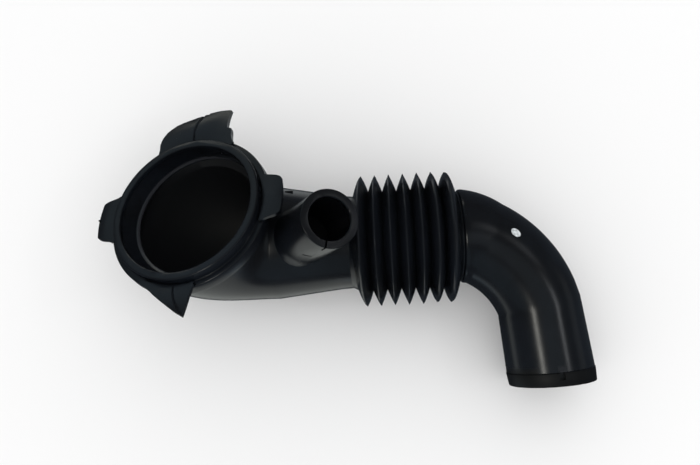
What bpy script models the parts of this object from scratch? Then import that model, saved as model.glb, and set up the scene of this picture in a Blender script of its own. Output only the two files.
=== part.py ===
"""Washing machine tub pump hose: one rubber moulding, open at the tub cup, the side stub and the pump end."""

from math import cos, pi, radians, sin, sqrt

import bmesh
import bpy
from mathutils import Matrix, Vector

# Facets
SIDES = 44                      # around the hose
STUB_SIDES = 32
CUP_BEND_STEPS = 9
HEEL_STEPS = 3
ELBOW_STEPS = 8
EAR_STRIPS = 4                  # across an ear, from the collar to its edge
GRIP_EAR_STEPS = 14             # along an ear
WING_EAR_STEPS = 12
STUB_FOOT_STEPS = 4

# Walls
WALL = 0.003
BELLOWS_WALL = 0.0014

# Bellows
PLEATS = 7
PITCH = 0.00715
CREST_RADIUS = 0.0333
ROOT_RADIUS = 0.025
CREST_FLAT = 0.0006             # width of the rounded crest
ARCH_ANGLE = radians(7.8)       # the soft bellows arches between its heavier ends
NECK_RADIUS = 0.0226            # groove at each end of the bellows
NECK_LENGTH = 0.0038

# Tube between the bellows and the cup
TUBE_RADIUS = 0.0234
TUBE_WIDE_RADIUS = 0.0288       # where the tube opens into the cup
TUBE_YAW = radians(-2.7)        # the tube leaves the bellows a little askew
TUBE_LENGTH = 0.0362

# Bend from the tube up into the cup
CUP_TURN = radians(76.6)
CUP_ROLL = radians(-29.2)       # side of the tube that the cup stands on
CUP_BEND_GAP = 0.003            # from the inner corner to the line that the bend turns about
CUP_LENGTH = 0.0156             # from the bend to the mouth

# Tub cup
CUP_RADIUS = 0.0360             # where the cup runs into the bend
LIP_RADIUS = 0.0393
LIP_EDGE = 0.0005
MOUTH_RADIUS = 0.0352
MOUTH_BEAD = 0.0022             # depth of the bead that grips the tub spout
RECESS_RADIUS = 0.0359
SEAT_RADIUS = 0.0330            # shoulder that the spout stops on
SEAT_DEPTH = 0.0110
SEAT_WIDTH = 0.0014
SEAT_LAND = 0.0010
SEAT_SHIFT = 0.0028             # the shoulder sits off centre, towards the bellows
SEAT_SHIFT_ANGLE = radians(60.7)
COLLAR_RADIUS = 0.0425
COLLAR_FRONT = 0.0052
COLLAR_BACK = 0.0116
COLLAR_EDGE = 0.0005

# Ears around the collar
EAR_ROOT_RADIUS = 0.0405
EAR_FRONT = 0.0034
EAR_BACK = 0.0090
EAR_EDGE_THICKNESS = 0.0026
GRIP_EAR_REACH = 0.0078         # beyond the collar
GRIP_EAR_HALF_ANGLE = radians(18.2)
GRIP_EAR_ANGLES = (radians(87.3), radians(271.3))
TOP_EAR_START = radians(-30.3)
BOTTOM_EAR_START = radians(167.8)

# Edges of the wing ears: share of the ear's width, and reach beyond the collar
TOP_EAR_WIDTH = radians(59.5)
TOP_EAR_EDGE = ((0.0, 0.0), (0.06, 0.0059), (0.11, 0.0087), (0.175, 0.0109), (0.28, 0.0122), (0.44, 0.0130),
                (0.56, 0.0153), (0.75, 0.0179), (0.77, 0.0118), (0.79, 0.0072), (0.85, 0.0074),
                (0.89, 0.0056), (0.95, 0.0016), (1.0, 0.0))
BOTTOM_EAR_WIDTH = radians(41.5)
BOTTOM_EAR_EDGE = ((0.0, 0.0), (0.08, 0.0047), (0.12, 0.0074), (0.17, 0.0118), (0.195, 0.0136), (0.22, 0.0130),
                   (0.30, 0.0113), (0.37, 0.0091), (0.59, 0.0048), (0.84, 0.0010), (1.0, 0.0))

# Side stub
STUB_RADIUS = 0.0142
STUB_BORE_RADIUS = 0.0104
STUB_LENGTH = 0.0634            # from the tube's axis to the stub's end
STUB_PLACE = 0.0364             # upstream of the bellows, along the tube's axis
STUB_LEAN = radians(28.4)       # towards the bellows
STUB_ROLL = radians(-12.5)
STUB_ROOT = 0.006               # the stub is joined to the tube from this height above the tube's axis
STUB_FOOT = 0.0014              # how far the foot spreads
STUB_FOOT_RISE = 0.007
STUB_FOOT_HEIGHT = 0.030        # top of the foot above the tube's axis
SLIT_WIDTH = 0.0011
SLIT_DEPTH = 0.0055
SLIT_TURN = radians(164.6)      # round the stub

# Pump elbow and outlet
ELBOW_RADIUS = 0.0239
HEEL_RADIUS = 0.0221
ELBOW_ROLL = radians(-2.0)
HEEL_TURN = radians(27.6)       # the elbow leaves the bellows at a sharp inner corner
HEEL_GAP = 0.0012
ELBOW_TURN = radians(55.9)
ELBOW_INNER_RADIUS = 0.0328
OUTLET_RADIUS = 0.0212
OUTLET_END_RADIUS = 0.0224
OUTLET_LENGTH = 0.0307
OUTLET_CUT = radians(-5.0)      # the end is cut a little off square
LIP_BAND = 0.0032
LIP_BAND_RISE = 0.0004
NOTCH_WIDTH = 0.0020            # a moulded nick in the lip band
NOTCH_LENGTH = 0.0036
NOTCH_DEPTH = 0.0011
NOTCH_TURN = radians(-17.7)     # round the outlet, from the top

# How the hose lies
LIE_ROLL = radians(9.2)
LIE_PITCH = radians(-1.5)

OVERCUT = 0.002                 # how far a cutter runs past the face that it opens

RUBBER_COLOUR = (0.012, 0.014, 0.016, 1.0)
RUBBER_ROUGHNESS = 0.42


def slide(frame, distance):
    """The frame moved along the hose; its Z axis points downstream, to the pump."""
    return frame @ Matrix.Translation((0.0, 0.0, distance))


def bend_frame(frame, hinge, angle, offset):
    """A frame swung about a line across the hose; hinge and offset are distances to that line."""
    return (frame @ Matrix.Translation((0.0, hinge, 0.0)) @ Matrix.Rotation(angle, 4, "X")
            @ Matrix.Translation((0.0, -offset, 0.0)))


def rolled(frame, angle):
    return frame @ Matrix.Rotation(angle, 4, "Z")


def smooth_step(value):
    return value * value * (3.0 - 2.0 * value)


def mix(start, end, share):
    return start + (end - start) * share


def circle(frame, radius, sides):
    """Points of a circle about the frame's Z axis."""
    turns = [2.0 * pi * side / sides for side in range(sides)]
    return [frame @ Vector((radius * cos(turn), radius * sin(turn), 0.0)) for turn in turns]


def lofted(name, circles):
    """A closed solid through circles of equally many points, capped at both ends.

    Each circle starts at its point nearest the last circle's start, so that a rolled frame doesn't twist it.
    """
    lined_up = [circles[0]]
    for points in circles[1:]:
        gaps = [(point - lined_up[-1][0]).length for point in points]
        start = gaps.index(min(gaps))
        lined_up.append(points[start:] + points[:start])
    shape = bmesh.new()
    loops = [[shape.verts.new(point) for point in points] for points in lined_up]
    for near, far in zip(loops, loops[1:]):
        for side in range(len(near)):
            shape.faces.new((near[side - 1], near[side], far[side], far[side - 1]))
    shape.faces.new(loops[0])
    shape.faces.new(loops[-1])
    return finished_object(shape, name)


def finished_object(shape, name):
    """An object made from a bmesh whose faces all point outwards."""
    bmesh.ops.recalc_face_normals(shape, faces=shape.faces)
    mesh = bpy.data.meshes.new(name)
    shape.to_mesh(mesh)
    shape.free()
    result = bpy.data.objects.new(name, mesh)
    bpy.context.collection.objects.link(result)
    return result


# Frames of the hose: local Z runs downstream, local Y is up at the middle of the bellows.

MIDDLE = Matrix(((0.0, 0.0, 1.0, 0.0), (1.0, 0.0, 0.0, 0.0), (0.0, 1.0, 0.0, 0.0), (0.0, 0.0, 0.0, 1.0)))
BELLOWS_LENGTH = PLEATS * PITCH
ARCH_RADIUS = BELLOWS_LENGTH / ARCH_ANGLE


def bellows_frame(place):
    """A frame on the arched bellows, place metres downstream of its middle."""
    return bend_frame(MIDDLE, -ARCH_RADIUS, place / ARCH_RADIUS, -ARCH_RADIUS)


BELLOWS_START = bellows_frame(-BELLOWS_LENGTH / 2.0)
BELLOWS_END = bellows_frame(BELLOWS_LENGTH / 2.0)
TUBE_START = slide(BELLOWS_START, -NECK_LENGTH) @ Matrix.Rotation(TUBE_YAW, 4, "Y")
TUBE_END = rolled(slide(TUBE_START, -TUBE_LENGTH), CUP_ROLL)


def cup_bend(share, inset=0.0):
    """Frame and radius in the bend: share 0 at the tube, 1 at the cup."""
    radius = mix(TUBE_WIDE_RADIUS, CUP_RADIUS, smooth_step(share))
    start_offset = CUP_BEND_GAP + TUBE_WIDE_RADIUS
    frame = bend_frame(TUBE_END, start_offset, CUP_TURN * share, CUP_BEND_GAP + radius)
    return frame, radius - inset


CUP_START = cup_bend(1.0)[0]
MOUTH = slide(CUP_START, -CUP_LENGTH)


def cup_frame(depth):
    return slide(MOUTH, depth)


ELBOW_START = rolled(slide(BELLOWS_END, NECK_LENGTH), pi / 2.0 + ELBOW_ROLL)


def heel_radius(share):
    return mix(ELBOW_RADIUS, HEEL_RADIUS, share)


def heel_frame(share):
    return bend_frame(ELBOW_START, HEEL_GAP + ELBOW_RADIUS, -HEEL_TURN * share, HEEL_GAP + heel_radius(share))


HEEL_END = heel_frame(1.0)


def elbow_radius(share):
    return mix(HEEL_RADIUS, OUTLET_RADIUS, share)


def elbow_frame(share):
    start_offset = ELBOW_INNER_RADIUS + HEEL_RADIUS
    return bend_frame(HEEL_END, start_offset, -ELBOW_TURN * share, ELBOW_INNER_RADIUS + elbow_radius(share))


OUTLET_START = elbow_frame(1.0)


def outlet_frame(distance):
    """Frames turn gradually to the slanted cut of the pump end."""
    share = min(distance / OUTLET_LENGTH, 1.0)
    return slide(OUTLET_START, distance) @ Matrix.Rotation(OUTLET_CUT * share, 4, "X")


def add_cup_outside(skin):
    skin.append((cup_frame(0.0), LIP_RADIUS - LIP_EDGE))
    skin.append((cup_frame(LIP_EDGE), LIP_RADIUS))
    skin.append((cup_frame(COLLAR_FRONT), LIP_RADIUS))
    skin.append((cup_frame(COLLAR_FRONT + COLLAR_EDGE / 2.0), COLLAR_RADIUS - COLLAR_EDGE))
    skin.append((cup_frame(COLLAR_FRONT + COLLAR_EDGE * 1.5), COLLAR_RADIUS))
    skin.append((cup_frame(COLLAR_BACK - COLLAR_EDGE), COLLAR_RADIUS))
    skin.append((cup_frame(COLLAR_BACK), COLLAR_RADIUS - COLLAR_EDGE))
    skin.append((cup_frame(COLLAR_BACK + COLLAR_EDGE), LIP_RADIUS))


def add_cup_inside(skin):
    skin.append((cup_frame(-OVERCUT), MOUTH_RADIUS))
    skin.append((cup_frame(MOUTH_BEAD), MOUTH_RADIUS))
    skin.append((cup_frame(MOUTH_BEAD + RECESS_RADIUS - MOUTH_RADIUS), RECESS_RADIUS))
    seat = cup_frame(SEAT_DEPTH) @ Matrix.Translation(
        (SEAT_SHIFT * cos(SEAT_SHIFT_ANGLE), SEAT_SHIFT * sin(SEAT_SHIFT_ANGLE), 0.0))
    skin.append((slide(seat, -SEAT_WIDTH / 2.0), SEAT_RADIUS + SEAT_WIDTH))
    skin.append((seat, SEAT_RADIUS))
    skin.append((slide(seat, SEAT_LAND), SEAT_RADIUS))


def add_body(skin, inset):
    """Cup bend and tube, down to the neck of the bellows."""
    for step in range(CUP_BEND_STEPS, -1, -1):
        skin.append(cup_bend(step / CUP_BEND_STEPS, inset))
    skin.append((slide(TUBE_START, -TUBE_LENGTH / 2.0), mix(TUBE_RADIUS, TUBE_WIDE_RADIUS, 0.5) - inset))
    skin.append((TUBE_START, TUBE_RADIUS - inset))


def add_bellows(skin, crest, root, flat):
    """Pleats as sharp folds; a flat above zero blunts their crests."""
    skin.append((BELLOWS_START, root))
    for pleat in range(PLEATS):
        centre = (pleat + 0.5) * PITCH - BELLOWS_LENGTH / 2.0
        if flat > 0.0:
            skin.append((bellows_frame(centre - flat / 2.0), crest))
            skin.append((bellows_frame(centre + flat / 2.0), crest))
        else:
            skin.append((bellows_frame(centre), crest))
        skin.append((bellows_frame(centre + PITCH / 2.0), root))


def add_elbow(skin, inset):
    for step in range(HEEL_STEPS):
        share = step / HEEL_STEPS
        skin.append((heel_frame(share), heel_radius(share) - inset))
    for step in range(ELBOW_STEPS + 1):
        share = step / ELBOW_STEPS
        skin.append((elbow_frame(share), elbow_radius(share) - inset))


def outer_skin():
    """Outside of the hose, as (frame, radius) rings from the mouth to the pump end."""
    skin = []
    add_cup_outside(skin)
    add_body(skin, 0.0)
    skin.append((slide(TUBE_START, NECK_LENGTH * 0.2), NECK_RADIUS))
    add_bellows(skin, CREST_RADIUS, ROOT_RADIUS, CREST_FLAT)
    skin.append((slide(BELLOWS_END, NECK_LENGTH * 0.3), NECK_RADIUS))
    skin.append((slide(BELLOWS_END, NECK_LENGTH * 0.8), NECK_RADIUS))
    add_elbow(skin, 0.0)
    band_start = OUTLET_LENGTH - LIP_BAND
    band_radius = mix(OUTLET_RADIUS, OUTLET_END_RADIUS, band_start / OUTLET_LENGTH)
    skin.append((outlet_frame(OUTLET_LENGTH / 2.0), mix(OUTLET_RADIUS, OUTLET_END_RADIUS, 0.5)))
    skin.append((outlet_frame(band_start), band_radius))
    skin.append((outlet_frame(band_start + LIP_BAND_RISE), band_radius + LIP_BAND_RISE))
    skin.append((outlet_frame(OUTLET_LENGTH), OUTLET_END_RADIUS + LIP_BAND_RISE))
    return lofted("outer_skin", [circle(frame, radius, SIDES) for frame, radius in skin])


def inner_skin():
    """Inside of the hose, past both of its ends."""
    fold = sqrt(1.0 + ((CREST_RADIUS - ROOT_RADIUS) / (PITCH / 2.0)) ** 2)
    fold_inset = BELLOWS_WALL * fold
    skin = []
    add_cup_inside(skin)
    add_body(skin, WALL)
    add_bellows(skin, CREST_RADIUS - fold_inset, ROOT_RADIUS - fold_inset, 0.0)
    add_elbow(skin, WALL)
    skin.append((outlet_frame(OUTLET_LENGTH), OUTLET_END_RADIUS - WALL))
    skin.append((slide(outlet_frame(OUTLET_LENGTH), OVERCUT), OUTLET_END_RADIUS - WALL))
    return lofted("inner_skin", [circle(frame, radius, SIDES) for frame, radius in skin])


def grip_ear_reach(share):
    """Reach of a plain ear beyond the collar: steep sides and a flat end."""
    side = min(1.0, (1.0 - abs(2.0 * share - 1.0)) / 0.42)
    return GRIP_EAR_REACH * smooth_step(side)


def edge_reach(edge, share):
    """Straight interpolation along a wing ear's edge."""
    for (left, low), (right, high) in zip(edge, edge[1:]):
        if share <= right:
            return mix(low, high, (share - left) / (right - left))
    return edge[-1][1]


def ear(name, start_angle, width, shares, reach, crown, curl):
    """A tapered plate that stands out from the collar.

    crown lifts the front along the middle, and curl bends the far edge back.
    """
    shape = bmesh.new()
    front_grid = []
    back_grid = []
    for share in shares:
        turn = start_angle + width * share
        front_row = []
        back_row = []
        for strip in range(EAR_STRIPS + 1):
            out = strip / EAR_STRIPS
            radius = mix(EAR_ROOT_RADIUS, COLLAR_RADIUS + reach(share), out)
            lift = crown * (1.0 - abs(2.0 * share - 1.0)) * sin(pi * out)
            front = EAR_FRONT - lift + curl * out * out
            thickness = mix(EAR_BACK - EAR_FRONT, EAR_EDGE_THICKNESS, out)
            place = Vector((radius * cos(turn), radius * sin(turn), 0.0))
            front_row.append(shape.verts.new(MOUTH @ (place + Vector((0.0, 0.0, front)))))
            back_row.append(shape.verts.new(MOUTH @ (place + Vector((0.0, 0.0, front + thickness + lift)))))
        front_grid.append(front_row)
        back_grid.append(back_row)
    last = len(front_grid) - 1
    for grid in (front_grid, back_grid):
        for row, next_row in zip(grid, grid[1:]):
            for strip in range(EAR_STRIPS):
                shape.faces.new((row[strip], row[strip + 1], next_row[strip + 1], next_row[strip]))
    for row in range(last):
        for strip in (0, EAR_STRIPS):
            shape.faces.new((front_grid[row][strip], front_grid[row + 1][strip],
                             back_grid[row + 1][strip], back_grid[row][strip]))
    for row in (0, last):
        for strip in range(EAR_STRIPS):
            shape.faces.new((front_grid[row][strip], front_grid[row][strip + 1],
                             back_grid[row][strip + 1], back_grid[row][strip]))
    return finished_object(shape, name)


def ears():
    plain_shares = [step / GRIP_EAR_STEPS for step in range(GRIP_EAR_STEPS + 1)]
    parts = []
    for number, angle in enumerate(GRIP_EAR_ANGLES):
        parts.append(ear(f"grip_ear_{number}", angle - GRIP_EAR_HALF_ANGLE, 2.0 * GRIP_EAR_HALF_ANGLE, plain_shares,
                         grip_ear_reach, 0.0004, 0.0004))
    for name, start, width, edge in (("top_ear", TOP_EAR_START, TOP_EAR_WIDTH, TOP_EAR_EDGE),
                                     ("bottom_ear", BOTTOM_EAR_START, BOTTOM_EAR_WIDTH, BOTTOM_EAR_EDGE)):
        shares = sorted({share for share, reach in edge}
                        | {step / WING_EAR_STEPS for step in range(WING_EAR_STEPS + 1)})
        parts.append(ear(name, start, width, shares, lambda share, edge=edge: edge_reach(edge, share),
                         0.0018, 0.0016))
    return parts


def stub_frame():
    """Local Z runs out along the stub, from the tube's axis."""
    return rolled(slide(BELLOWS_START, -STUB_PLACE), STUB_ROLL) @ Matrix.Rotation(STUB_LEAN - pi / 2.0, 4, "X")


def turned(name, frame, profile, sides):
    """A turned solid about the frame's Z axis, from (height, radius) pairs."""
    return lofted(name, [circle(slide(frame, height), radius, sides) for height, radius in profile])


def block(name, frame, size):
    """A box centred on the frame."""
    shape = bmesh.new()
    bmesh.ops.create_cube(shape, size=1.0, matrix=frame @ Matrix.Diagonal((*size, 1.0)))
    return finished_object(shape, name)


def stub_outside():
    profile = [(STUB_ROOT, STUB_RADIUS + STUB_FOOT)]
    for step in range(STUB_FOOT_STEPS + 1):
        share = step / STUB_FOOT_STEPS
        height = STUB_FOOT_HEIGHT + STUB_FOOT_RISE * (share - 1.0)
        profile.append((height, STUB_RADIUS + STUB_FOOT * (1.0 - share) ** 2))
    profile.append((STUB_LENGTH - LIP_EDGE, STUB_RADIUS))
    profile.append((STUB_LENGTH, STUB_RADIUS - LIP_EDGE))
    return turned("stub_outside", stub_frame(), profile, STUB_SIDES)


def stub_bore():
    profile = [(0.0, STUB_BORE_RADIUS), (STUB_LENGTH + OVERCUT, STUB_BORE_RADIUS)]
    return turned("stub_bore", stub_frame(), profile, STUB_SIDES)


def stub_slit():
    """A short split through the stub's rim."""
    wall = STUB_RADIUS - STUB_BORE_RADIUS
    place = Matrix.Translation((STUB_BORE_RADIUS + wall / 2.0, 0.0, STUB_LENGTH - SLIT_DEPTH / 2.0))
    size = (wall + 2.0 * OVERCUT, SLIT_WIDTH, SLIT_DEPTH + OVERCUT)
    return block("stub_slit", rolled(stub_frame(), SLIT_TURN) @ slide(place, OVERCUT / 2.0), size)


def outlet_notch():
    """A shallow notch in the band at the pump end."""
    end = rolled(outlet_frame(OUTLET_LENGTH), NOTCH_TURN)
    outside = OUTLET_END_RADIUS + LIP_BAND_RISE
    place = Matrix.Translation((outside - NOTCH_DEPTH + OVERCUT / 2.0, 0.0, (OVERCUT - NOTCH_LENGTH) / 2.0))
    return block("outlet_notch", end @ place, (OVERCUT, NOTCH_WIDTH, NOTCH_LENGTH + OVERCUT))


def cut_or_join(target, tool, operation):
    """Apply one exact Boolean and remove the tool."""
    change = target.modifiers.new(operation.lower(), "BOOLEAN")
    change.operation = operation
    change.object = tool
    change.solver = "EXACT"
    depsgraph = bpy.context.evaluated_depsgraph_get()
    result = bpy.data.meshes.new_from_object(target.evaluated_get(depsgraph))
    target.modifiers.clear()
    target.data = result
    bpy.data.objects.remove(tool)


def rubber():
    material = bpy.data.materials.new("rubber")
    material.use_nodes = True
    shader = material.node_tree.nodes["Principled BSDF"]
    shader.inputs["Base Color"].default_value = RUBBER_COLOUR
    shader.inputs["Roughness"].default_value = RUBBER_ROUGHNESS
    shader.inputs["Metallic"].default_value = 0.0
    return material


def lay_down(hose):
    """Turn the hose to the way it lies, with the middle of its box's underside at the origin."""
    turn = Matrix.Rotation(LIE_ROLL, 4, "X") @ Matrix.Rotation(LIE_PITCH, 4, "Y")
    hose.data.transform(turn)
    points = [vertex.co for vertex in hose.data.vertices]
    low = Vector([min(point[axis] for point in points) for axis in range(3)])
    high = Vector([max(point[axis] for point in points) for axis in range(3)])
    centre = (low + high) / 2.0
    hose.data.transform(Matrix.Translation((-centre.x, -centre.y, -low.z)))


def tub_pump_hose():
    hose = outer_skin()
    hose.name = "tub_pump_hose"
    for plate in ears():
        cut_or_join(hose, plate, "UNION")
    cut_or_join(hose, stub_outside(), "UNION")
    hollow = inner_skin()
    cut_or_join(hollow, stub_bore(), "UNION")
    cut_or_join(hose, hollow, "DIFFERENCE")
    for cutter in (stub_slit(), outlet_notch()):
        cut_or_join(hose, cutter, "DIFFERENCE")
    hose.data.name = "tub_pump_hose"
    hose.data.materials.clear()
    hose.data.materials.append(rubber())
    lay_down(hose)
    hose.data.shade_smooth()
    hose.data.set_sharp_from_angle(angle=radians(35.0))
    return hose


def main():
    for thing in list(bpy.data.objects):
        bpy.data.objects.remove(thing)
    tub_pump_hose()


main()
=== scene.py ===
from math import cos, pi, radians, sin, sqrt

import bmesh
import bpy
from mathutils import Matrix, Vector, noise
from mathutils.bvhtree import BVHTree


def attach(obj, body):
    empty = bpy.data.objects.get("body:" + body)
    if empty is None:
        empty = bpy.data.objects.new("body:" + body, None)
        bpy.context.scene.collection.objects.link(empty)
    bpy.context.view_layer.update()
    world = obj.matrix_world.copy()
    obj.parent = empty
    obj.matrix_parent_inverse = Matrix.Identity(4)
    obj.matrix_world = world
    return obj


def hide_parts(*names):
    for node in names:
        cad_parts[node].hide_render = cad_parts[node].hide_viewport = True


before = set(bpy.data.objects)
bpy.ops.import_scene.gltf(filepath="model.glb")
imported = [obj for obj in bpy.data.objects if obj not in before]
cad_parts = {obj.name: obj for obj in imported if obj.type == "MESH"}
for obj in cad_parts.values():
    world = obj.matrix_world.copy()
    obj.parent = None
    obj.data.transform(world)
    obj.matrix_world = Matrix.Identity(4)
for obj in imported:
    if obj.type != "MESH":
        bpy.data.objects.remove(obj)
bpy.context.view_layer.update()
scene = bpy.context.scene
print("frame loaded with", len(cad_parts), "node")

# the hose is made in its own coordinates; local Z of each place runs downstream, to the pump
sides = 120
wall = dict(body=0.0030, bellows=0.0014)
beyond = 0.002  # how far a cutting tool reaches past an open end

# how the hose lies in the shared frame
lie = (Matrix.Translation((0.03062, 0.00400, 0.03442)) @ Matrix.Rotation(radians(9.2), 4, "X")
       @ Matrix.Rotation(radians(-1.5), 4, "Y"))


def slide(place, distance):
    return place @ Matrix.Translation((0.0, 0.0, distance))


def rolled(place, angle):
    return place @ Matrix.Rotation(angle, 4, "Z")


# turns a place about a hinge beside it, then sets it off the hinge again
def bent(place, hinge, angle, offset):
    return (place @ Matrix.Translation((0.0, hinge, 0.0)) @ Matrix.Rotation(angle, 4, "X")
            @ Matrix.Translation((0.0, -offset, 0.0)))


def mix(start, end, share):
    return start + (end - start) * share


def eased(value):
    value = min(1.0, max(0.0, value))
    return value * value * (3.0 - 2.0 * value)


# bellows: the middle of the hose, on a shallow arch; shares are the sections of one pleat
bellows = dict(pleats=7, pitch=0.00715, crest=0.0333, root=0.0250, arch=radians(7.8), neck=0.0226,
               neckLength=0.0038, neckRound=0.0004, neckStep=0.0003, foldTip=0.0003,
               fullness=(1.34, 1.22, 1.20, 1.22, 1.26, 1.42, 1.60), shoulder=0.975, shoulderWidth=0.05,
               shares=(0.0, 0.083, 0.167, 0.25, 0.333, 0.417, 0.464, 0.5, 0.536, 0.583, 0.667, 0.75, 0.833,
                       0.917))
middle = Matrix(((0.0, 0.0, 1.0, 0.0), (1.0, 0.0, 0.0, 0.0), (0.0, 1.0, 0.0, 0.0), (0.0, 0.0, 0.0, 1.0)))
bellowsLength = bellows["pleats"] * bellows["pitch"]
archRadius = bellowsLength / bellows["arch"]


def bellowsPlace(distance):
    return bent(middle, -archRadius, distance / archRadius, -archRadius)


bellowsStart = bellowsPlace(-bellowsLength / 2.0)
bellowsEnd = bellowsPlace(bellowsLength / 2.0)

# tube, and the bent funnel that widens and rolls into the cup
tube = dict(radius=0.0234, wide=0.0288, yaw=radians(-2.7), length=0.0362, neckShare=0.6, steps=10)
bend = dict(turn=radians(76.6), roll=radians(-29.2), gap=0.0030, steps=34, hollowSteps=24)
tubeStart = slide(bellowsStart, -bellows["neckLength"]) @ Matrix.Rotation(tube["yaw"], 4, "Y")
tubeEnd = rolled(slide(tubeStart, -tube["length"]), bend["roll"])

# cup; the profiles are pairs of (depth, rise)
cup = dict(length=0.0156, radius=0.0360, lip=0.0393, lipRound=0.0008, mouth=0.0352,
           mouthRound=((0.0, 0.0006), (0.0002, 0.0002), (0.0007, 0.0)), bead=0.0022, beadSlope=0.0008,
           recess=0.0359, collar=0.0425, collarFront=0.0052, collarBack=0.0116, collarRound=0.0008,
           collarRoot=0.0004, collarFoot=((0.0002, 0.0004), (0.0012, -0.0007)),
           seat=0.0330, seatDepth=0.0110, seatShift=0.0028, seatAngle=radians(60.7),
           seatProfile=((-0.0008, 0.0016), (-0.0006, 0.0010), (-0.0005, 0.0006), (-0.0002, 0.00015),
                        (0.0002, 0.0), (0.0010, 0.0002), (0.0016, 0.0009)))


def cupBend(share, inset=0.0):
    radius = mix(tube["wide"], cup["radius"], eased(share))
    place = bent(tubeEnd, bend["gap"] + tube["wide"], bend["turn"] * share, bend["gap"] + radius)
    return place, radius - inset


mouth = slide(cupBend(1.0)[0], -cup["length"])

# elbow: a tight heel, a longer bend, and a mitred corner to the straight pump end
elbow = dict(start=0.0239, heel=0.0221, roll=radians(-2.0), heelTurn=radians(27.6), heelGap=0.0012,
             heelSteps=9, hollowHeelSteps=6, shoulder=0.0004, shoulderEnd=0.0001,
             turn=radians(45.4), inner=0.0328, steps=30, hollowSteps=20)
outlet = dict(kink=radians(10.5), roomBefore=1.2, roomAfter=1.25, radius=0.0212, end=0.0224, length=0.0397,
              cut=radians(-5.0), steps=8, band=0.0070, rise=0.0003, taper=0.0006, boreRim=0.0003,
              bandEdge=((-0.0002, 0.0), (0.0, -0.00015), (0.00015, -0.0001)),
              bandRound=((0.00030, 0.0001), (0.00055, 0.0)),
              lipRound=((0.0004, 0.0), (0.0001, 0.0001), (0.0, 0.0004)))
elbowStart = rolled(slide(bellowsEnd, bellows["neckLength"]), pi / 2.0 + elbow["roll"])


def heelRing(share, inset=0.0):
    radius = mix(elbow["start"], elbow["heel"], share)
    place = bent(elbowStart, elbow["heelGap"] + elbow["start"], -elbow["heelTurn"] * share,
                 elbow["heelGap"] + radius)
    return place, radius - inset


heelEnd = heelRing(1.0)[0]


def elbowRing(share, inset=0.0):
    radius = mix(elbow["heel"], outlet["radius"], share)
    place = bent(heelEnd, elbow["inner"] + elbow["heel"], -elbow["turn"] * share, elbow["inner"] + radius)
    return place, radius - inset


outletStart = elbowRing(1.0)[0] @ Matrix.Rotation(-outlet["kink"], 4, "X")
mitre = outlet["radius"] * sin(outlet["kink"] / 2.0)


# rings of the elbow; those that would cross the tilted ring at the corner are left out
def elbowRings(count, inset=0.0):
    rings = [elbowRing(step / count, inset) for step in range(count)
             if elbow["inner"] * elbow["turn"] * (1.0 - step / count) > outlet["roomBefore"] * mitre]
    corner = elbowRing(1.0)[0] @ Matrix.Rotation(-outlet["kink"] / 2.0, 4, "X")
    return rings + [(corner, outlet["radius"] - inset)]


def outletPlace(distance):
    share = min(distance / outlet["length"], 1.0)
    return slide(outletStart, distance) @ Matrix.Rotation(outlet["cut"] * share, 4, "X")


outletEnd = outletPlace(outlet["length"])

# side stub, leaning out of the tube
stub = dict(radius=0.0142, bore=0.0104, length=0.06336, place=0.0364, lean=radians(28.4),
            roll=radians(-12.5), sunk=0.006, foot=0.0016, footRise=0.008, footHeight=0.030, footSteps=12,
            rim=0.0006, boreRim=0.0004, boreRimDepth=0.0005, sides=80)
stubPlace = (rolled(slide(bellowsStart, -stub["place"]), stub["roll"])
             @ Matrix.Rotation(stub["lean"] - pi / 2.0, 4, "X"))


# points of a quarter round between two corners of a profile
def rounded(startDepth, startRadius, endDepth, endRadius, outward, steps=4):
    points = []
    for step in range(steps + 1):
        angle = pi / 2.0 * step / steps
        depthShare = 1.0 - cos(angle) if outward else sin(angle)
        radiusShare = sin(angle) if outward else 1.0 - cos(angle)
        points.append((mix(startDepth, endDepth, depthShare), mix(startRadius, endRadius, radiusShare)))
    return points


def finished(shape, name):
    bmesh.ops.recalc_face_normals(shape, faces=shape.faces)
    mesh = bpy.data.meshes.new(name)
    shape.to_mesh(mesh)
    shape.free()
    piece = bpy.data.objects.new(name, mesh)
    scene.collection.objects.link(piece)
    return piece


# a closed solid through rings of (place, radius); wobble(ring number, angle) adds to a radius
def lofted(name, rings, count, wobble=None):
    shape = bmesh.new()
    loops = []
    for number, (place, radius) in enumerate(rings):
        points = []
        for side in range(count):
            angle = 2.0 * pi * side / count
            reach = radius + (wobble(number, angle) if wobble else 0.0)
            points.append(place @ Vector((reach * cos(angle), reach * sin(angle), 0.0)))
        if loops:
            gaps = [(point - loops[-1][0].co).length for point in points]
            start = gaps.index(min(gaps))
            points = points[start:] + points[:start]
        loops.append([shape.verts.new(point) for point in points])
    for near, far in zip(loops, loops[1:]):
        for side in range(count):
            shape.faces.new((near[side - 1], near[side], far[side], far[side - 1]))
    shape.faces.new(loops[0])
    shape.faces.new(loops[-1])
    return finished(shape, name)


# joins the tool to the target or cuts it out, and removes the tool
def combine(target, tool, operation):
    change = target.modifiers.new(operation.lower(), "BOOLEAN")
    change.operation = operation
    change.object = tool
    change.solver = "MANIFOLD"
    result = bpy.data.meshes.new_from_object(target.evaluated_get(bpy.context.evaluated_depsgraph_get()))
    target.modifiers.clear()
    target.data = result
    bpy.data.objects.remove(tool)


def block(name, place, size):
    shape = bmesh.new()
    bmesh.ops.create_cube(shape, size=1.0, matrix=place @ Matrix.Diagonal((*size, 1.0)))
    return finished(shape, name)


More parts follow.
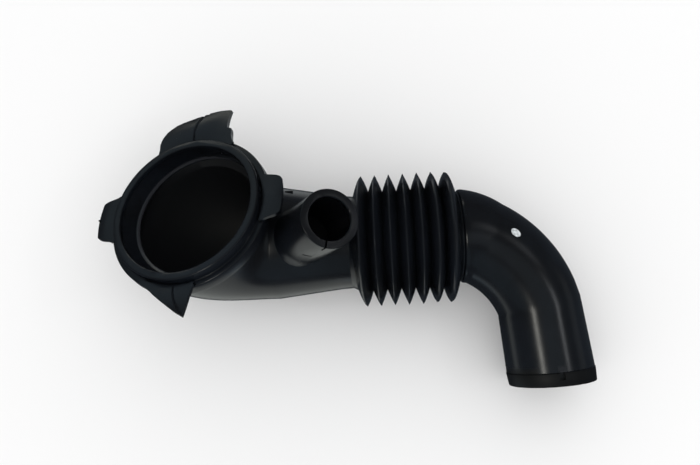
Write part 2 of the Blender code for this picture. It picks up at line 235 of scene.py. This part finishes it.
# outside of the cup, from the lip back over the collar
profile = rounded(0.0, cup["lip"] - cup["lipRound"], cup["lipRound"], cup["lip"], True)
profile += rounded(cup["collarFront"] - cup["collarRoot"], cup["lip"],
                   cup["collarFront"], cup["lip"] + cup["collarRoot"], False, 3)
profile += rounded(cup["collarFront"], cup["collar"] - cup["collarRound"],
                   cup["collarFront"] + cup["collarRound"], cup["collar"], True)
profile += rounded(cup["collarBack"] - cup["collarRound"], cup["collar"],
                   cup["collarBack"], cup["collar"] - cup["collarRound"], False)
profile += [(cup["collarBack"] + depth, cup["lip"] + rise) for depth, rise in cup["collarFoot"]]
outsideRings = [(slide(mouth, depth), radius) for depth, radius in profile]

# funnel and tube
outsideRings += [cupBend(step / bend["steps"]) for step in range(bend["steps"], -1, -1)]
for step in range(1, tube["steps"]):
    share = step / tube["steps"]
    radius = mix(tube["wide"], tube["radius"], share)
    outsideRings.append((slide(tubeStart, -tube["length"] * (1.0 - share)), radius))
outsideRings.append((slide(tubeStart, bellows["neckLength"] * tube["neckShare"]), tube["radius"]))

# pleats, with the crests a little blunt
bellowsFirst = len(outsideRings)
for pleat in range(bellows["pleats"]):
    for share in bellows["shares"]:
        height = 1.0 - abs(2.0 * share - 1.0) ** bellows["fullness"][pleat]
        if 0.0 < abs(share - 0.5) < bellows["shoulderWidth"]:
            height = bellows["shoulder"]
        distance = (pleat + share) * bellows["pitch"] - bellowsLength / 2.0
        outsideRings.append((bellowsPlace(distance), mix(bellows["root"], bellows["crest"], height)))
bellowsLast = len(outsideRings)
outsideRings.append((bellowsEnd, bellows["root"]))

# groove between the last pleat and the elbow, as (share of the neck, radius)
groove = ((0.20, bellows["neck"] + bellows["neckRound"]), (0.28, bellows["neck"]), (0.44, bellows["neck"]),
          (0.50, bellows["neck"] + bellows["neckStep"]), (0.57, elbow["start"] - elbow["shoulder"]),
          (0.70, elbow["start"] - elbow["shoulderEnd"]))
outsideRings += [(slide(bellowsEnd, bellows["neckLength"] * share), radius) for share, radius in groove]

# elbow and pump end, with the raised band round its mouth
outsideRings += [heelRing(step / elbow["heelSteps"]) for step in range(elbow["heelSteps"])]
outsideRings += elbowRings(elbow["steps"])
bandStart = outlet["length"] - outlet["band"]
for step in range(outlet["steps"]):
    distance = mix(outlet["roomAfter"] * mitre, bandStart, step / outlet["steps"])
    radius = mix(outlet["radius"], outlet["end"], distance / outlet["length"])
    outsideRings.append((outletPlace(distance), radius))
bandRadius = mix(outlet["radius"], outlet["end"], bandStart / outlet["length"])
outsideRings += [(outletPlace(bandStart + depth), bandRadius + rise) for depth, rise in outlet["bandEdge"]]
outsideRings += [(outletPlace(bandStart + depth), bandRadius + (outlet["rise"] - drop))
                 for depth, drop in outlet["bandRound"]]
lipRadius = outlet["end"] + outlet["rise"] - outlet["taper"]
outsideRings += [(outletPlace(outlet["length"] - depth), lipRadius - drop)
                 for depth, drop in outlet["lipRound"]]

# crests end in a slightly torn edge, most of all underneath, with flash where the mould parted
tears = dict(depth=0.00060, crestShare=0.35, top=0.4, below=0.6, even=0.5, fine=1.1, shrink=0.00008,
             flash=0.0011, partingWidth=0.03, flashShift=0.4, waves=5.0, ripples=21.0)


def torn(number, angle):
    if number < bellowsFirst or number >= bellowsLast:
        return 0.0
    pleat, sample = divmod(number - bellowsFirst, len(bellows["shares"]))
    crest = max(0.0, 1.0 - abs(2.0 * bellows["shares"][sample] - 1.0) / tears["crestShare"])
    low = tears["top"] + tears["below"] * max(0.0, -cos(angle))
    uneven = noise.noise(Vector((tears["waves"] * cos(angle), tears["waves"] * sin(angle), 3.1 * pleat)))
    ripple = noise.noise(Vector((tears["ripples"] * cos(angle), tears["ripples"] * sin(angle),
                                 7.7 * pleat + sample)))
    parting = max(0.0, 1.0 - abs(sin(angle)) / tears["partingWidth"])
    flashHeight = parting * crest * tears["flash"] * abs(ripple + tears["flashShift"])
    cut = tears["depth"] * crest * low * (tears["even"] + uneven + tears["fine"] * abs(ripple))
    return flashHeight - cut - tears["shrink"]


hose = lofted("hose", outsideRings, sides, torn)
print("outside made with", len(outsideRings), "rings")

# ears around the collar; edges are (share of the ear's width, reach beyond the collar)
# and seams are (level from root to tip, share of the width)
ears = dict(root=0.0405, front=0.0034, back=0.0090, thickness=0.0019, thinBy=2.3, strips=16, shares=110,
            endThickness=0.3, endWidth=0.12, seamWidth=0.014, seamDepth=0.0006,
            proudStart=0.004, proudRise=0.02, proudEnd=0.05, proudFall=0.22)
gripEars = dict(middles=((radians(87.3), 0.0078), (radians(271.3), 0.0076)), half=radians(18.2), slope=0.42,
                crown=0.0004, curl=0.0004)
topEar = dict(start=radians(-30.3), width=radians(59.5), reach=0.0181, crown=0.0014, curl=0.0012,
              proud=0.0004,
              edge=((0.0, 0.0), (0.03, 0.0018), (0.06, 0.0050), (0.11, 0.0079), (0.175, 0.0102),
                    (0.28, 0.0118), (0.44, 0.0125), (0.56, 0.0139), (0.598, 0.0141), (0.606, 0.0149),
                    (0.70, 0.0167), (0.775, 0.0177), (0.790, 0.0176), (0.796, 0.0149), (0.806, 0.0118),
                    (0.822, 0.0086), (0.840, 0.0067), (0.885, 0.0068), (0.897, 0.0061), (0.925, 0.0032),
                    (0.96, 0.0012), (1.0, 0.0)),
              seam=((0.0, 0.470), (0.30, 0.477), (0.50, 0.500), (0.70, 0.530), (0.85, 0.562), (1.0, 0.602)))
bottomEar = dict(start=radians(167.8), width=radians(41.5), reach=0.0142, crown=0.0010, curl=0.0010,
                 proud=0.0,
                 edge=((0.0, 0.0), (0.04, 0.0018), (0.08, 0.0044), (0.12, 0.0078), (0.16, 0.0117),
                       (0.185, 0.0142), (0.200, 0.0141), (0.22, 0.0134), (0.30, 0.0114), (0.37, 0.0093),
                       (0.48, 0.0068), (0.59, 0.0047), (0.72, 0.0025), (0.84, 0.0010), (1.0, 0.0)),
                 seam=((0.0, 0.350), (0.25, 0.335), (0.5, 0.300), (0.75, 0.250), (1.0, 0.200)))


def along(line, share):
    for (left, low), (right, high) in zip(line, line[1:]):
        if share <= right:
            return mix(low, high, (share - left) / (right - left))
    return line[-1][1]


def gripReach(reach):
    return lambda share: reach * eased((1.0 - abs(2.0 * share - 1.0)) / gripEars["slope"])


def drawnReach(edge):
    return lambda share: along(edge, share)


# a tapered plate; its front stands a little proud on one side of its seam
def ear(name, start, width, edge, reach, crown, curl, corners=(), seam=None, proud=0.0):
    shape = bmesh.new()
    grids = ([], [])
    shares = sorted({round(step / ears["shares"], 4) for step in range(ears["shares"] + 1)}
                    | {round(corner, 4) for corner, cornerReach in corners})
    for share in shares:
        angle = start + width * share
        edgeShare = mix(ears["endThickness"], 1.0, eased(min(share, 1.0 - share) / ears["endWidth"]))
        rows = ([], [])
        for strip in range(ears["strips"] + 1):
            radius = mix(ears["root"], cup["collar"] + edge(share), strip / ears["strips"])
            level = (radius - ears["root"]) / (cup["collar"] + reach - ears["root"])
            lift = crown * (1.0 - abs(2.0 * share - 1.0)) * sin(pi * level)
            front = ears["front"] - lift + curl * level * level
            thickness = mix(ears["back"] - ears["front"], ears["thickness"], min(1.0, level * ears["thinBy"]))
            thickness = (thickness + lift) * edgeShare
            if seam:
                gap = share - along(seam, level)
                step = max(0.0, 1.0 - abs(gap) / ears["seamWidth"]) * ears["seamDepth"]
                step -= (proud * eased((gap + ears["proudStart"]) / ears["proudRise"])
                         * (1.0 - eased((gap - ears["proudEnd"]) / ears["proudFall"])))
                front += step
                thickness -= step
            spot = Vector((radius * cos(angle), radius * sin(angle), front))
            rows[0].append(shape.verts.new(mouth @ spot))
            rows[1].append(shape.verts.new(mouth @ (spot + Vector((0.0, 0.0, thickness)))))
        grids[0].append(rows[0])
        grids[1].append(rows[1])
    for grid in grids:
        for row, after in zip(grid, grid[1:]):
            for strip in range(ears["strips"]):
                shape.faces.new((row[strip], row[strip + 1], after[strip + 1], after[strip]))
    for step in range(len(shares) - 1):
        for strip in (0, ears["strips"]):
            shape.faces.new((grids[0][step][strip], grids[0][step + 1][strip],
                             grids[1][step + 1][strip], grids[1][step][strip]))
    for step in (0, len(shares) - 1):
        for strip in range(ears["strips"]):
            shape.faces.new((grids[0][step][strip], grids[0][step][strip + 1],
                             grids[1][step][strip + 1], grids[1][step][strip]))
    return finished(shape, name)


for middleAngle, reach in gripEars["middles"]:
    combine(hose, ear("gripEar", middleAngle - gripEars["half"], 2.0 * gripEars["half"], gripReach(reach),
                      reach, gripEars["crown"], gripEars["curl"]), "UNION")
for name, drawn in (("topEar", topEar), ("bottomEar", bottomEar)):
    combine(hose, ear(name, drawn["start"], drawn["width"], drawnReach(drawn["edge"]), drawn["reach"],
                      drawn["crown"], drawn["curl"], drawn["edge"], drawn["seam"], drawn["proud"]), "UNION")

# side stub with a soft foot
stubProfile = [(stub["sunk"], stub["radius"] + stub["foot"])]
for step in range(stub["footSteps"] + 1):
    share = step / stub["footSteps"]
    stubProfile.append((stub["footHeight"] + stub["footRise"] * (share - 1.0),
                        stub["radius"] + stub["foot"] * (1.0 - share) ** 2))
stubProfile += rounded(stub["length"] - stub["rim"], stub["radius"],
                       stub["length"], stub["radius"] - stub["rim"], False)
stubRings = [(slide(stubPlace, height), radius) for height, radius in stubProfile]
combine(hose, lofted("stub", stubRings, stub["sides"]), "UNION")
print("ears and stub joined")

# hollow: mouth, bead and recess
mouthProfile = [(-beyond, cup["mouth"] + cup["mouthRound"][0][1])]
mouthProfile += [(depth, cup["mouth"] + rise) for depth, rise in cup["mouthRound"]]
mouthProfile += [(cup["bead"], cup["mouth"]), (cup["bead"] + cup["beadSlope"], cup["recess"])]
hollowRings = [(slide(mouth, depth), radius) for depth, radius in mouthProfile]

# the stop shoulder sits a little to one side
seat = slide(mouth, cup["seatDepth"]) @ Matrix.Translation(
    (cup["seatShift"] * cos(cup["seatAngle"]), cup["seatShift"] * sin(cup["seatAngle"]), 0.0))
hollowRings += [(slide(seat, depth), cup["seat"] + rise) for depth, rise in cup["seatProfile"]]

# funnel and tube inside
hollowRings += [cupBend(step / bend["hollowSteps"], wall["body"])
                for step in range(bend["hollowSteps"], -1, -1)]
midRadius = mix(tube["radius"], tube["wide"], 0.5)
hollowRings += [(slide(tubeStart, -tube["length"] / 2.0), midRadius - wall["body"]),
                (tubeStart, tube["radius"] - wall["body"])]

# the folds keep the bellows' wall, measured square to a pleat's slope
slope = (bellows["crest"] - bellows["root"]) / (bellows["pitch"] / 2.0)
foldInset = wall["bellows"] * sqrt(1.0 + slope ** 2)
foldCrest = bellows["crest"] - foldInset - bellows["foldTip"]
hollowRings.append((bellowsStart, bellows["root"] - foldInset))
for pleat in range(bellows["pleats"]):
    centre = (pleat + 0.5) * bellows["pitch"] - bellowsLength / 2.0
    hollowRings += [(bellowsPlace(centre - bellows["foldTip"]), foldCrest),
                    (bellowsPlace(centre + bellows["foldTip"]), foldCrest),
                    (bellowsPlace(centre + bellows["pitch"] / 2.0), bellows["root"] - foldInset)]
hollowRings += [heelRing(step / elbow["hollowHeelSteps"], wall["body"])
                for step in range(elbow["hollowHeelSteps"])]
hollowRings += elbowRings(elbow["hollowSteps"], wall["body"])
outletBore = outlet["end"] - wall["body"]
hollowRings += [(outletPlace(outlet["length"] - outlet["boreRim"]), outletBore),
                (outletEnd, outletBore + outlet["boreRim"]),
                (slide(outletEnd, beyond), outletBore + outlet["boreRim"])]
hollow = lofted("hollow", hollowRings, sides)
boreProfile = ((0.0, stub["bore"]), (stub["length"] - stub["boreRimDepth"], stub["bore"]),
               (stub["length"], stub["bore"] + stub["boreRim"]),
               (stub["length"] + beyond, stub["bore"] + stub["boreRim"]))
boreRings = [(slide(stubPlace, height), radius) for height, radius in boreProfile]
combine(hollow, lofted("bore", boreRings, stub["sides"]), "UNION")
channel = BVHTree.FromPolygons([vertex.co for vertex in hollow.data.vertices],
                               [polygon.vertices for polygon in hollow.data.polygons])
combine(hose, hollow, "DIFFERENCE")
print("hollow cut")

# slit in the stub's rim
slit = dict(width=0.0009, depth=0.0055, across=0.008, turn=radians(169.6))
slitPlace = rolled(stubPlace, slit["turn"]) @ Matrix.Translation(
    ((stub["bore"] + stub["radius"]) / 2.0, 0.0, stub["length"] - slit["depth"] / 2.0 + beyond / 2.0))
slitSize = (slit["across"], slit["width"], slit["depth"] + beyond)
combine(hose, block("split", slitPlace, slitSize), "DIFFERENCE")

# nick in the pump end's band, with a small dash of rubber above it
nick = dict(turn=radians(-1.8), back=0.0053, size=(0.0030, 0.0026, 0.0040), dash=(0.0012, 0.0024, 0.0008))
nickPlace = rolled(outletPlace(outlet["length"] - nick["back"]), nick["turn"]) @ Matrix.Translation(
    (outlet["end"], 0.0, 0.0))
combine(hose, block("nick", nickPlace, nick["size"]), "DIFFERENCE")
dashPlace = slide(nickPlace, -(nick["size"][2] + nick["dash"][2]) / 2.0)
combine(hose, block("dash", dashPlace, nick["dash"]), "UNION")

# left by the mould: a fin by the right ear, a nib on the left ear and a mark at the stub's base
flash = dict(fin=(-0.0274, 0.0301, 0.0440), finSize=(0.0042, 0.0010, 0.0012),
             nib=(-0.12412, 0.02114, 0.0430), nibSize=(0.0010, 0.0008, 0.0008),
             mark=(-0.01807, -0.0066, 0.07111), markSize=(0.0044, 0.0026, 0.0010), markTilt=radians(-12.0))
for name in ("fin", "nib"):
    spot = lie.inverted() @ Matrix.Translation(flash[name])
    combine(hose, block(name, spot, flash[name + "Size"]), "UNION")
markPlace = lie.inverted() @ Matrix.Translation(flash["mark"]) @ Matrix.Rotation(flash["markTilt"], 4, "Y")
combine(hose, block("mark", markPlace, flash["markSize"]), "DIFFERENCE")

# masks: painted highlights on the pleats' crests, the seat's edge and the dash, the dull insides and the
# darker, duller band at the pump end
highlightAndFinish = dict(crestDepth=0.0006, crestHighlight=0.40, pleatLift=0.10, dashReach=0.0017, seatEdge=0.0007,
              seatMargin=0.0004, openEdge=0.0014, bandReach=0.03, mouthReach=0.05, touch=0.00002,
              sharp=radians(32.0))
archCentre = middle @ Vector((0.0, -archRadius, 0.0))
archAxis = middle.to_3x3() @ Vector((1.0, 0.0, 0.0))
middleInverse = middle.inverted()
stubInverse = stubPlace.inverted()
mouthInverse = mouth.inverted()
outletInverse = outletEnd.inverted()
paintedHighlightMask = hose.data.attributes.new("paintedHighlight", "FLOAT", "POINT")
insideMask = hose.data.attributes.new("inside", "FLOAT", "POINT")
bandMask = hose.data.attributes.new("band", "FLOAT", "POINT")
for vertex in hose.data.vertices:
    inBellows = middleInverse @ vertex.co
    inStub = stubInverse @ vertex.co
    inMouth = mouthInverse @ vertex.co
    inOutlet = outletInverse @ vertex.co
    if abs(inBellows.z) < bellowsLength / 2.0:
        toArch = vertex.co - archCentre
        aside = toArch.dot(archAxis)
        inPlane = (toArch - archAxis * aside).length - archRadius
        reach = sqrt(inPlane * inPlane + aside * aside)
        # painted highlight: lighter colour along the crests, where their rounded tips catch the light, and a
        # little over the whole bellows
        crest = eased((reach - bellows["crest"] + highlightAndFinish["crestDepth"]) / highlightAndFinish["crestDepth"])
        paintedHighlightMask.data[vertex.index].value = highlightAndFinish["pleatLift"] + highlightAndFinish["crestHighlight"] * crest
    # painted highlight: the seat's edge and the dash above the nick get the full lighter colour
    onSeat = abs(inMouth.z - cup["seatDepth"]) < highlightAndFinish["seatEdge"]
    onDash = (vertex.co - dashPlace.translation).length < highlightAndFinish["dashReach"]
    if onDash or (onSeat and inMouth.xy.length < cup["recess"] - highlightAndFinish["seatMargin"]):
        paintedHighlightMask.data[vertex.index].value = 1.0
    nearMouth = inMouth.length < highlightAndFinish["mouthReach"] and inMouth.z < cup["seatDepth"] + highlightAndFinish["openEdge"]
    nearRim = inStub.xy.length < stub["radius"] and inStub.z > stub["length"] - highlightAndFinish["openEdge"]
    if channel.find_nearest(vertex.co)[3] < highlightAndFinish["touch"] and not nearMouth and not nearRim:
        insideMask.data[vertex.index].value = 1.0
    if inOutlet.z > -outlet["band"] and inOutlet.length < highlightAndFinish["bandReach"]:
        bandMask.data[vertex.index].value = 1.0

hose.data.transform(lie)
hose.data.shade_smooth()
hose.data.set_sharp_from_angle(angle=highlightAndFinish["sharp"])
print("hose made", len(hose.data.polygons), "faces")


def group(name, outputs):
    tree = bpy.data.node_groups.new(name, "ShaderNodeTree")
    for title, kind in outputs:
        tree.interface.new_socket(title, in_out="OUTPUT", socket_type=kind)
    return tree, tree.nodes.new("NodeGroupOutput")


def ramp(tree, source, stops):
    node = tree.nodes.new("ShaderNodeValToRGB")
    for element, (place, value) in zip(node.color_ramp.elements, stops):
        element.position = place
        element.color = (value, value, value, 1.0)
    tree.links.new(source, node.inputs["Fac"])
    return node.outputs["Color"]


def noiseNode(tree, scale, detail, vector, roughness=0.5):
    node = tree.nodes.new("ShaderNodeTexNoise")
    node.inputs["Scale"].default_value = scale
    node.inputs["Detail"].default_value = detail
    node.inputs["Roughness"].default_value = roughness
    tree.links.new(vector, node.inputs["Vector"])
    return node.outputs["Fac"]


def mathNode(tree, operation, first, second):
    node = tree.nodes.new("ShaderNodeMath")
    node.operation = operation
    for socket, value in zip(node.inputs, (first, second)):
        if isinstance(value, (int, float)):
            socket.default_value = value
        else:
            tree.links.new(value, socket)
    return node.outputs["Value"]


def weighted(tree, first, second, share):
    return mathNode(tree, "ADD", mathNode(tree, "MULTIPLY", first, share),
                    mathNode(tree, "MULTIPLY", second, 1.0 - share))


def mixColour(tree, factor, first, second):
    node = tree.nodes.new("ShaderNodeMix")
    node.data_type = "RGBA"
    for index, value in ((0, factor), (6, first), (7, second)):
        if isinstance(value, tuple):
            node.inputs[index].default_value = (*value, 1.0)
        else:
            tree.links.new(value, node.inputs[index])
    return node.outputs[2]


# moulded rubber: faint cloudy bloom, fine pores, uneven polish
# the lightest colour here is a painted highlight for the crests, the seat's edge and the dash
rubberLook = dict(dark=(0.0034, 0.0040, 0.0054), bloom=(0.0058, 0.0082, 0.0122), paintedHighlight=(0.017, 0.018, 0.022),
                  insides=(0.0054, 0.0062, 0.0082), band=(0.0022, 0.0026, 0.0034), cloud=16.0, patches=55.0,
                  mottle=420.0, pores=900.0, cloudShare=0.7, bloomFrom=0.42, bloomTo=0.68, patchShare=0.6,
                  poreShare=0.25, low=0.18, high=0.32, insideRise=0.35, bandRise=0.28, bump=0.12,
                  bumpDepth=0.0004, specular=0.42)
rubberSurface, groupOut = group("rubberSurface", (
    ("Colour", "NodeSocketColor"), ("Roughness", "NodeSocketFloat"), ("Height", "NodeSocketFloat")))
position = rubberSurface.nodes.new("ShaderNodeTexCoord").outputs["Object"]
cloud = noiseNode(rubberSurface, rubberLook["cloud"], 5.0, position, 0.55)
patches = noiseNode(rubberSurface, rubberLook["patches"], 4.0, position, 0.6)
mottle = noiseNode(rubberSurface, rubberLook["mottle"], 3.0, position, 0.6)
pores = noiseNode(rubberSurface, rubberLook["pores"], 3.0, position)
bloomMask = ramp(rubberSurface, weighted(rubberSurface, cloud, patches, rubberLook["cloudShare"]),
                 ((rubberLook["bloomFrom"], 0.0), (rubberLook["bloomTo"], 1.0)))
colour = mixColour(rubberSurface, bloomMask, rubberLook["dark"], rubberLook["bloom"])
polish = weighted(rubberSurface, patches, mottle, rubberLook["patchShare"])
polish = mathNode(rubberSurface, "MULTIPLY", polish, rubberLook["high"] - rubberLook["low"])
polish = mathNode(rubberSurface, "ADD", polish, rubberLook["low"])
height = weighted(rubberSurface, pores, patches, rubberLook["poreShare"])
for title, value in (("Colour", colour), ("Roughness", polish), ("Height", height)):
    rubberSurface.links.new(value, groupOut.inputs[title])


def rubberMaterial(name):
    material = bpy.data.materials.new(name)
    material.use_nodes = True
    tree = material.node_tree
    shader = tree.nodes["Principled BSDF"]
    surface = tree.nodes.new("ShaderNodeGroup")
    surface.node_tree = rubberSurface
    masks = {}
    for title in ("paintedHighlight", "inside", "band"):
        mask = tree.nodes.new("ShaderNodeAttribute")
        mask.attribute_name = title
        masks[title] = mask.outputs["Fac"]
    # painted highlight: lighter colour on the crests, the seat's edge and the dash
    colour = mixColour(tree, masks["paintedHighlight"], surface.outputs["Colour"], rubberLook["paintedHighlight"])
    colour = mixColour(tree, masks["inside"], colour, rubberLook["insides"])
    colour = mixColour(tree, masks["band"], colour, rubberLook["band"])
    tree.links.new(colour, shader.inputs["Base Color"])
    polish = surface.outputs["Roughness"]
    for title in ("inside", "band"):
        rise = mathNode(tree, "MULTIPLY", masks[title], rubberLook[title + "Rise"])
        polish = mathNode(tree, "ADD", polish, rise)
    tree.links.new(polish, shader.inputs["Roughness"])
    bump = tree.nodes.new("ShaderNodeBump")
    bump.inputs["Strength"].default_value = rubberLook["bump"]
    bump.inputs["Distance"].default_value = rubberLook["bumpDepth"]
    tree.links.new(surface.outputs["Height"], bump.inputs["Height"])
    tree.links.new(bump.outputs["Normal"], shader.inputs["Normal"])
    shader.inputs["Specular IOR Level"].default_value = rubberLook["specular"]
    return material


hose.data.materials.clear()
hose.data.materials.append(rubberMaterial("mouldedRubber"))
print("rubber material made")

# white paint dot on the elbow, laid on the rubber
dot = dict(spot=(0.08409, 0.00155, 0.0520), normal=(0.35, 0.25, 0.90), long=0.00265, short=0.00205,
           turn=radians(-38.0), rings=6, around=40, height=0.00012, edgeHeight=0.00002, sunk=0.0001,
           uneven=0.05, reach=0.01, thin=(0.30, 0.32, 0.33), full=(0.66, 0.70, 0.72), wear=900.0,
           wearFrom=0.36, wearTo=0.56, roughness=0.5)
rubberTree = BVHTree.FromPolygons([vertex.co for vertex in hose.data.vertices],
                                  [polygon.vertices for polygon in hose.data.polygons])
dotNormal = Vector(dot["normal"]).normalized()
dotLong = (Vector((cos(dot["turn"]), sin(dot["turn"]), 0.0)) - dotNormal * (
    dotNormal.x * cos(dot["turn"]) + dotNormal.y * sin(dot["turn"]))).normalized()
dotShort = dotNormal.cross(dotLong)


def dotPoint(ring, step, lift):
    angle = 2.0 * pi * step / dot["around"]
    uneven = 1.0 + dot["uneven"] * noise.noise(Vector((2.0 * cos(angle), 2.0 * sin(angle), 0.5)))
    share = ring / dot["rings"] * uneven
    spot = (Vector(dot["spot"]) + dotLong * (dot["long"] * share * cos(angle))
            + dotShort * (dot["short"] * share * sin(angle)))
    hit, hitNormal = rubberTree.ray_cast(spot + dotNormal * dot["reach"], -dotNormal)[:2]
    return hit + hitNormal * lift


shape = bmesh.new()
centre = shape.verts.new(dotPoint(0, 0, dot["height"]))
loops = []
for ring in range(1, dot["rings"] + 1):
    lift = dot["height"] * (1.0 - (ring / dot["rings"]) ** 4) + dot["edgeHeight"]
    loops.append([shape.verts.new(dotPoint(ring, step, lift)) for step in range(dot["around"])])
loops.append([shape.verts.new(dotPoint(dot["rings"], step, -dot["sunk"])) for step in range(dot["around"])])
under = shape.verts.new(dotPoint(0, 0, -dot["sunk"]))
for step in range(dot["around"]):
    shape.faces.new((centre, loops[0][step - 1], loops[0][step]))
    shape.faces.new((under, loops[-1][step], loops[-1][step - 1]))
for near, far in zip(loops, loops[1:]):
    for step in range(dot["around"]):
        shape.faces.new((near[step - 1], near[step], far[step], far[step - 1]))
paintDot = finished(shape, "paintDot")
paintDot.data.shade_smooth()
material = bpy.data.materials.new("dotPaint")
material.use_nodes = True
tree = material.node_tree
shader = tree.nodes["Principled BSDF"]
position = tree.nodes.new("ShaderNodeTexCoord").outputs["Object"]
wear = ramp(tree, noiseNode(tree, dot["wear"], 4.0, position, 0.6),
            ((dot["wearFrom"], 0.0), (dot["wearTo"], 1.0)))
tree.links.new(mixColour(tree, wear, dot["thin"], dot["full"]), shader.inputs["Base Color"])
shader.inputs["Roughness"].default_value = dot["roughness"]
paintDot.data.materials.append(material)
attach(paintDot, "root")

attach(hose, "root")
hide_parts("tub_pump_hose")
print("paint dot made")

# floor and room; reflections see them darker than the camera does
stageLook = dict(size=6.0, floor=(0.88, 0.88, 0.88), floorInGloss=(0.06, 0.07, 0.085), floorRoughness=0.9,
                 room=(1.12, 1.12, 1.12), roomInGloss=(0.0559, 0.0611, 0.065))
shape = bmesh.new()
bmesh.ops.create_grid(shape, x_segments=1, y_segments=1, size=stageLook["size"])
floor = finished(shape, "floor")
for polygon in floor.data.polygons:
    if polygon.normal.z < 0.0:
        polygon.flip()
material = bpy.data.materials.new("paper")
material.use_nodes = True
tree = material.node_tree
shader = tree.nodes["Principled BSDF"]
glossy = tree.nodes.new("ShaderNodeLightPath").outputs["Is Glossy Ray"]
floorShade = mixColour(tree, glossy, stageLook["floor"], stageLook["floorInGloss"])
tree.links.new(floorShade, shader.inputs["Base Color"])
shader.inputs["Roughness"].default_value = stageLook["floorRoughness"]
shader.inputs["Specular IOR Level"].default_value = 0.0
floor.data.materials.append(material)

world = bpy.data.worlds.new("studio")
scene.world = world
world.use_nodes = True
tree = world.node_tree
background = tree.nodes["Background"]
glossy = tree.nodes.new("ShaderNodeLightPath").outputs["Is Glossy Ray"]
roomShade = mixColour(tree, glossy, stageLook["room"], stageLook["roomInGloss"])
tree.links.new(roomShade, background.inputs["Color"])
background.inputs["Strength"].default_value = 1.0

# lights aimed at the hose; glossOnly ones show only as reflections, and up ones lie low and face up
lampAim = Vector((0.0, 0.0, 0.04))
alongX = Vector((1.0, 0.0, 0.0))
alongY = Vector((0.0, 1.0, 0.0))
lamps = (
    dict(name="leftBox", place=(-0.29, -0.24, 0.80), along=alongY, size=(0.080, 0.24), power=0.86,
         colour=(1.0, 0.98, 0.90), glossOnly=True, up=False),
    dict(name="rightBox", place=(0.73, -0.12, 0.80), along=alongY, size=(0.07, 0.16), power=0.28,
         colour=(0.95, 0.97, 1.0), glossOnly=False, up=False),
    dict(name="backBox", place=(-0.30, 0.75, 0.16), along=alongX, size=(0.10, 0.5), power=0.32,
         colour=(0.97, 1.0, 0.92), glossOnly=True, up=False),
    dict(name="earCard", place=(-0.49, 0.57, 0.45), along=alongX, size=(0.50, 0.60), power=0.28,
         colour=(0.64, 0.87, 1.0), glossOnly=True, up=False),
    dict(name="frontCard", place=(-0.20, -0.80, 0.45), along=alongX, size=(0.90, 1.20), power=0.58,
         colour=(0.58, 0.83, 1.0), glossOnly=True, up=False),
    dict(name="sideCard", place=(0.80, 0.0, 0.12), along=alongY, size=(0.24, 0.40), power=0.06,
         colour=(0.90, 0.96, 1.0), glossOnly=True, up=False),
    dict(name="topCard", place=(0.22, -0.18, 0.80), along=alongX, size=(0.40, 0.52), power=0.155,
         colour=(0.78, 0.92, 1.0), glossOnly=True, up=False),
    dict(name="rimCard", place=(0.62, 0.24, 0.70), along=alongY, size=(0.20, 0.20), power=0.10,
         colour=(0.94, 0.97, 1.0), glossOnly=True, up=False),
    dict(name="lowCard", place=(-0.060, -0.096, 0.002), along=alongX, size=(0.13, 0.13), power=0.035,
         colour=(0.96, 1.0, 0.94), glossOnly=True, up=True),
    dict(name="collarCard", place=(0.022, -0.118, 0.002), along=alongX, size=(0.06, 0.05), power=0.006,
         colour=(0.70, 0.88, 1.0), glossOnly=True, up=True),
    dict(name="rearCard", place=(-0.03, 0.10, 0.002), along=alongX, size=(0.08, 0.08), power=0.012,
         colour=(0.95, 1.0, 1.0), glossOnly=True, up=True),
)
for lamp in lamps:
    data = bpy.data.lights.new(lamp["name"], "AREA")
    data.shape = "RECTANGLE"
    data.size, data.size_y = lamp["size"]
    data.energy = lamp["power"]
    data.color = lamp["colour"]
    holder = bpy.data.objects.new(lamp["name"], data)
    scene.collection.objects.link(holder)
    away = Vector((0.0, 0.0, -1.0)) if lamp["up"] else Vector(lamp["place"]) - lampAim
    away.normalize()
    length = (lamp["along"] - away * lamp["along"].dot(away)).normalized()
    turn = Matrix((length.cross(away), length, away)).transposed().to_4x4()
    holder.matrix_world = Matrix.Translation(lamp["place"]) @ turn
    holder.visible_camera = False
    if lamp["glossOnly"]:
        holder.visible_diffuse = False

# the camera of the photograph
view = dict(sensor=36.0, lens=50.32, near=0.01,
            place=((0.99822, 0.05756, 0.01579, 0.01017), (-0.0543, 0.98564, -0.15986, -0.07097),
                   (-0.02477, 0.15872, 0.98701, 0.52919), (0.0, 0.0, 0.0, 1.0)))
cameraData = bpy.data.cameras.new("camera")
cameraData.sensor_width = view["sensor"]
cameraData.lens = view["lens"]
cameraData.clip_start = view["near"]
camera = bpy.data.objects.new("camera", cameraData)
scene.collection.objects.link(camera)
camera.matrix_world = Matrix(view["place"])
scene.camera = camera
scene.view_settings.view_transform = "Standard"
print("stage made")
